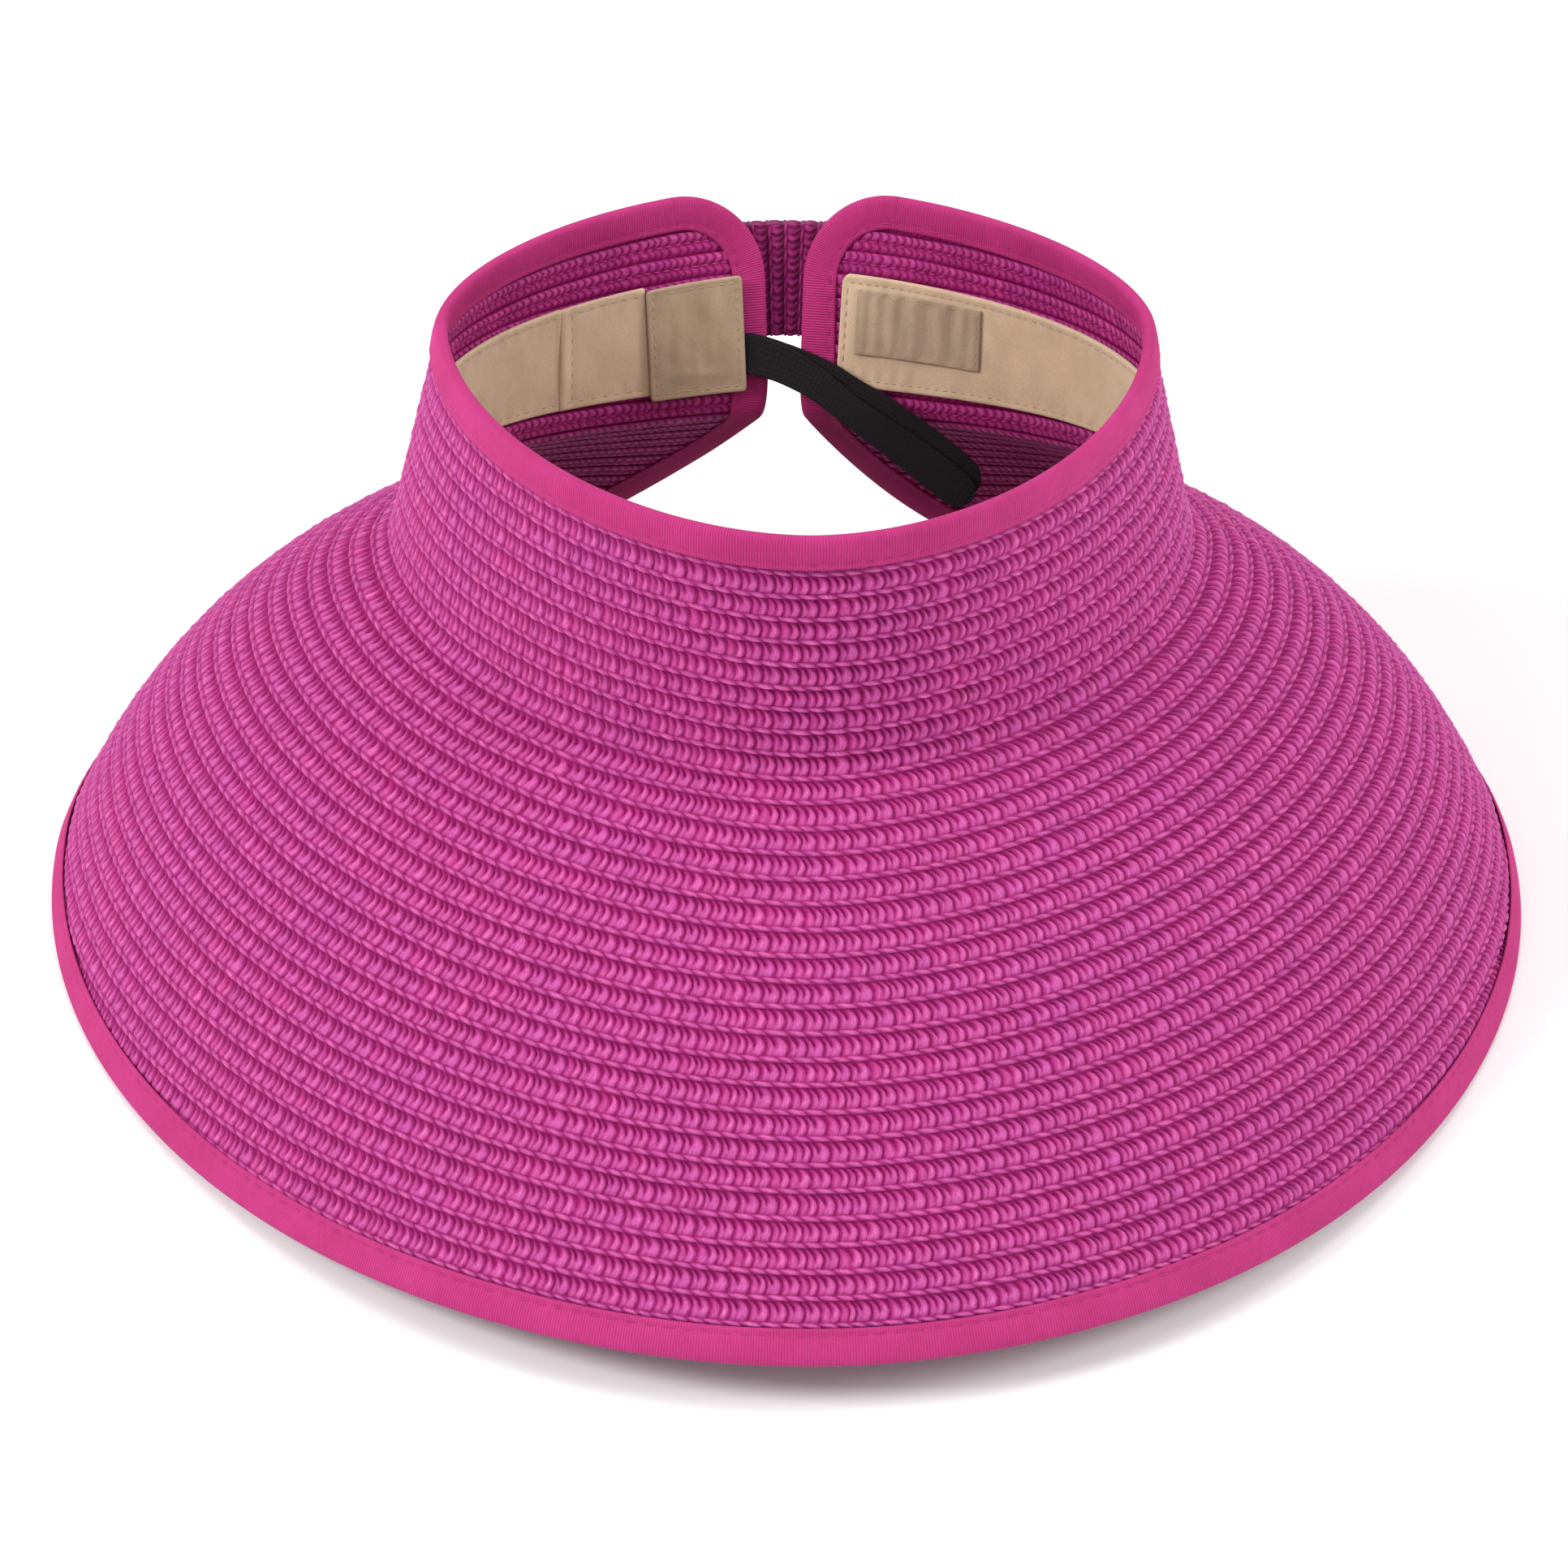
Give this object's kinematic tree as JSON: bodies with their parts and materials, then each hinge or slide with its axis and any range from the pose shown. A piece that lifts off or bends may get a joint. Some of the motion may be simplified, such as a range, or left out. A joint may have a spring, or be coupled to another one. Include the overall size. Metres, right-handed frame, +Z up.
{
  "type": "sun visor",
  "caption": "Roll-up wide-brim sun visor of sewn lapped braid: taped edges, cotton sweatband, elastic roll-up loop and a hook-and-loop bow strap closing the open back.",
  "frame": {"origin": "centre of the bounding box's base, on the table the brim edge stands on", "axes": "+Z up, front of the brim towards -Y, the open back towards +Y, the wearer's left (seen from the front, the right) towards +X"},
  "size_m": [0.3768, 0.3075, 0.1645],
  "materials": {
    "braid": "sewn paper-straw braid, matt",
    "tape": "ribbed edge tape",
    "cotton": "cotton twill",
    "label": "blank woven label",
    "elastic": "knitted elastic webbing",
    "hook": "hook-and-loop tape"
  },
  "bodies": {
    "shell": {"crown_braid": "braid", "brim_braid": "braid", "top_binding": "tape", "brim_binding": "tape", "end_binding_left": "tape", "end_binding_right": "tape", "sweatband": "cotton", "sweatband_left_panel": "cotton", "sweatband_end_patch": "cotton", "size_label": "label", "elastic_sewn_end": "elastic", "closure_strap_base": "braid", "closure_loop_patch": "hook"},
    "bow_strap": {"closure_strap": "braid", "closure_hook_patch": "hook", "bow_loop_left": "braid", "bow_loop_right": "braid", "bow_knot": "braid"},
    "roll_loop": {"elastic_loop": "elastic"}
  },
  "joints": [
    {"name": "bow_strap_peel", "type": "hinge", "parent": "shell", "child": "bow_strap", "pos_m": [-0.04969, 0.11797, 0.1258], "axis": [-0.0316, 0.1503, 0.9881], "range_deg": [0, 100]},
    {"name": "roll_loop_swing", "type": "hinge", "parent": "shell", "child": "roll_loop", "pos_m": [-0.00986, 0.11602, 0.11135], "axis": [0.0534, -0.3697, -0.9276], "range_deg": [0, 55]}
  ]
}
